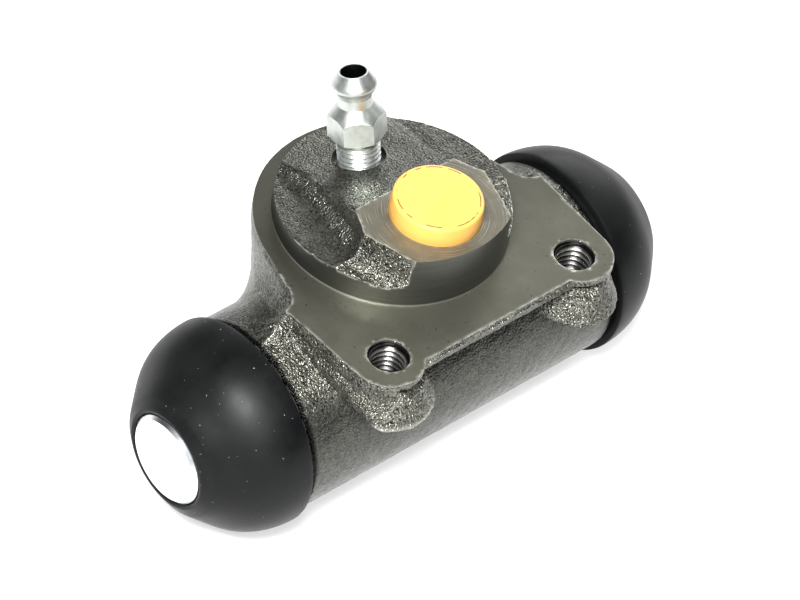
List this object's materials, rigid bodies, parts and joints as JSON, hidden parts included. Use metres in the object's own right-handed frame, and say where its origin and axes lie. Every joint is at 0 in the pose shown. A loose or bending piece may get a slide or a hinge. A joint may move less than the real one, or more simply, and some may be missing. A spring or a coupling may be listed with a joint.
{
  "type": "wheel cylinder",
  "caption": "Drum-brake wheel cylinder: cast barrel with flange, pilot spigot, bleed screw and plugged inlet; rubber-booted pistons slide out to push the brake shoes apart.",
  "frame": {"origin": "centre of the pilot spigot, on the plane of the machined mounting face", "axes": "+Z out of the mounting face along the pilot spigot, +X along the bore to the right piston, -Y towards the two tapped holes"},
  "size_m": [0.0892, 0.0486, 0.0559],
  "materials": {
    "cast_body": "as cast, with machined faces",
    "plated_screw": "bright zinc plate",
    "yellow_plug": "satin moulding",
    "boot_rubber": "satin black",
    "piston_steel": "bright turned",
    "seal_rubber": "black",
    "expander_steel": "yellow passivated",
    "spring_steel": "bright wire"
  },
  "bodies": {
    "housing": {"body": "cast_body", "port_plug": "yellow_plug", "left_boot": "boot_rubber", "right_boot": "boot_rubber", "return_spring": "spring_steel"},
    "left_plunger": {"left_piston": "piston_steel", "left_cup_seal": "seal_rubber", "left_cup_expander": "expander_steel"},
    "right_plunger": {"right_piston": "piston_steel", "right_cup_seal": "seal_rubber", "right_cup_expander": "expander_steel"},
    "bleeder": {"bleed_screw": "plated_screw"}
  },
  "joints": [
    {"name": "left_piston_slide", "type": "slide", "parent": "housing", "child": "left_plunger", "axis": [-1, 0, 0], "range_m": [-0.008, 0.004], "stiffness_N_per_m": 400, "deforming": ["left_boot", "return_spring"]},
    {"name": "right_piston_slide", "type": "slide", "parent": "housing", "child": "right_plunger", "axis": [1, 0, 0], "range_m": [-0.008, 0.004], "stiffness_N_per_m": 400, "deforming": ["right_boot", "return_spring"]},
    {"name": "bleed_screw_turn", "type": "hinge", "parent": "housing", "child": "bleeder", "pos_m": [0, 0.0083, 0.00581], "axis": [0, 0.2924, 0.9563], "range_deg": [0, 360]}
  ]
}
